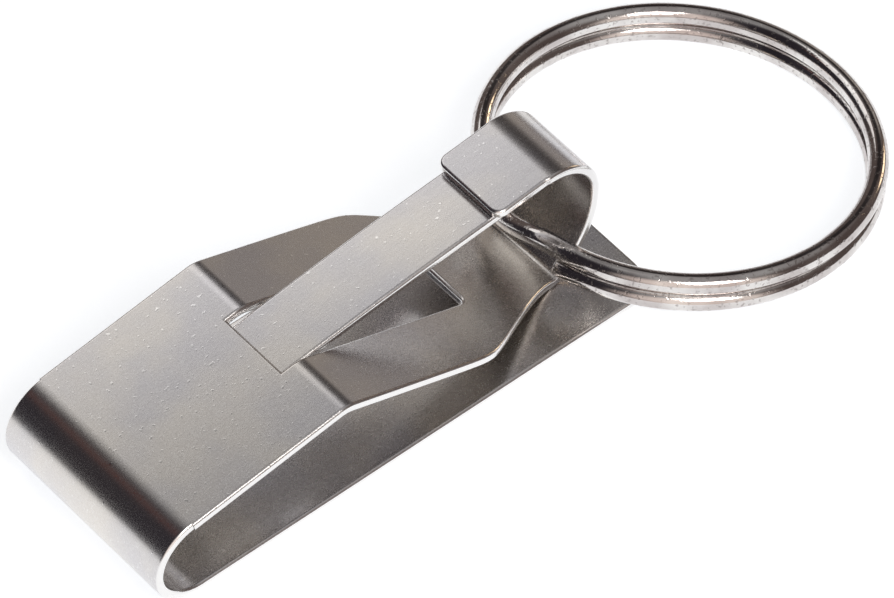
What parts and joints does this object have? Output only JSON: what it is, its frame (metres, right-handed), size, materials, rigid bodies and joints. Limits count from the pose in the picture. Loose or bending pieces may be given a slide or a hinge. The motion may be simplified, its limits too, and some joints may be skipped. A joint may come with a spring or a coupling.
{
  "type": "belt key clip",
  "caption": "Slip-on belt key clip: a folded spring-steel strip with a curled hook, a spring tongue that closes it, and a split ring.",
  "frame": {"origin": "middle of the flat back plate's outer face, which lies against the clothing or on a table", "axes": "+X from the spring bend towards the hook and ring, +Y across the strip, +Z away from the back plate's outer face"},
  "size_m": [0.0888, 0.039, 0.0162],
  "materials": {
    "strip_steel": "satin nickel plate",
    "ring_steel": "bright nickel plate"
  },
  "bodies": {
    "back": {"back_plate": "strip_steel", "spring_bend": "strip_steel"},
    "jaw": {"front_leaf": "strip_steel", "ring_hook": "strip_steel", "tongue_anchor": "strip_steel"},
    "gate": {"spring_tongue": "strip_steel"},
    "ring": {"split_ring": "ring_steel"}
  },
  "joints": [
    {"name": "jaw_flex", "type": "hinge", "parent": "back", "child": "jaw", "pos_m": [-0.02726, 0, 0.0051], "axis": [0, -1, 0], "range_deg": [0, 6], "stiffness_Nm_per_rad": 4, "springref_deg": -2.29, "deforming": ["spring_bend"]},
    {"name": "gate_flex", "type": "hinge", "parent": "jaw", "child": "gate", "pos_m": [-0.01204, 0, 0.01048], "axis": [0, 1, 0], "range_deg": [0, 9], "stiffness_Nm_per_rad": 2, "springref_deg": -2.86},
    {"name": "ring_swing", "type": "hinge", "parent": "jaw", "child": "ring", "pos_m": [0.01851, -0.0024, 0.0068], "axis": [0.0057, -0.999, 0.045], "range_deg": [-20, 160]}
  ]
}
